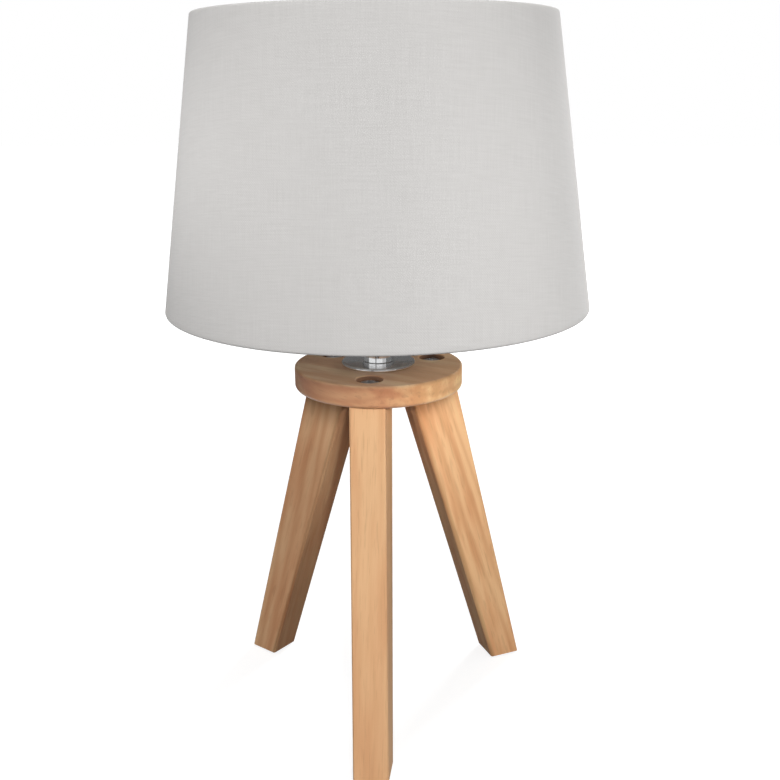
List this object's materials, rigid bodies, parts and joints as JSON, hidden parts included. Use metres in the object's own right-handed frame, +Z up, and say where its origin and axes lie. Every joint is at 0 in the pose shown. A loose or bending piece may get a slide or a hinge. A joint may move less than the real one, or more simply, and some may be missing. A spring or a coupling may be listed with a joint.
{
  "type": "tripod table lamp",
  "caption": "Table lamp with a tapered grey fabric shade over a wooden disc on splayed, tapering wooden legs, with a bright stem, a screw lampholder and its bulb.",
  "frame": {"origin": "centre of the lamp on the surface that the feet stand on, below the stem", "axes": "+Z up along the stem; -Y towards the front leg; +X to the right seen from the front"},
  "size_m": [0.24, 0.24, 0.407],
  "materials": {
    "pale_wood": "satin",
    "dowel_wood": "matte",
    "chrome_plate": "polished",
    "zinc_steel": "satin",
    "brass_parts": "satin",
    "foot_felt": "matte",
    "black_plastic": "matte",
    "holder_plastic": "satin",
    "core_ceramic": "matte",
    "painted_wire": "satin",
    "shade_fabric": "matte",
    "liner_sheet": "matte",
    "bulb_metal": "satin",
    "bulb_plastic": "satin",
    "bulb_diffuser": "satin"
  },
  "bodies": {
    "lamp_base": {"top_disc": "pale_wood", "leg_front": "pale_wood", "leg_right": "pale_wood", "leg_left": "pale_wood", "leg_screws": "zinc_steel", "leg_washers": "zinc_steel", "leg_inserts": "brass_parts", "leg_dowels": "dowel_wood", "foot_pads": "foot_felt", "cover_plate": "chrome_plate", "stem_tube": "chrome_plate", "threaded_tube": "zinc_steel", "tube_washer": "zinc_steel", "tube_nut": "zinc_steel", "cord_bush": "black_plastic", "holder_cap": "holder_plastic", "holder_skirt": "holder_plastic", "holder_core": "core_ceramic", "screw_shell": "brass_parts", "centre_contact": "brass_parts", "terminal_screws": "brass_parts"},
    "shade": {"fitter_ring": "painted_wire", "spider_arms": "painted_wire", "shade_bottom_wire": "painted_wire", "shade_top_wire": "painted_wire", "shade_liner": "liner_sheet", "shade_cover": "shade_fabric"},
    "ring_nut": {"shade_ring": "holder_plastic"},
    "bulb": {"bulb_tip": "brass_parts", "bulb_insulator": "black_plastic", "bulb_screw_cap": "bulb_metal", "bulb_housing": "bulb_plastic", "bulb_board": "bulb_metal", "bulb_globe": "bulb_diffuser"}
  },
  "joints": [
    {"name": "shade_turn", "type": "hinge", "parent": "lamp_base", "child": "shade", "pos_m": [0, 0, 0.2618], "axis": [0, 0, 1], "continuous": true},
    {"name": "shade_ring_turn", "type": "hinge", "parent": "lamp_base", "child": "ring_nut", "pos_m": [0, 0, 0.2638], "axis": [0, 0, 1], "range_deg": [0, 720]},
    {"name": "bulb_lift", "type": "slide", "parent": "lamp_base", "child": "bulb", "axis": [0, 0, 1], "range_m": [0, 0.16]}
  ]
}
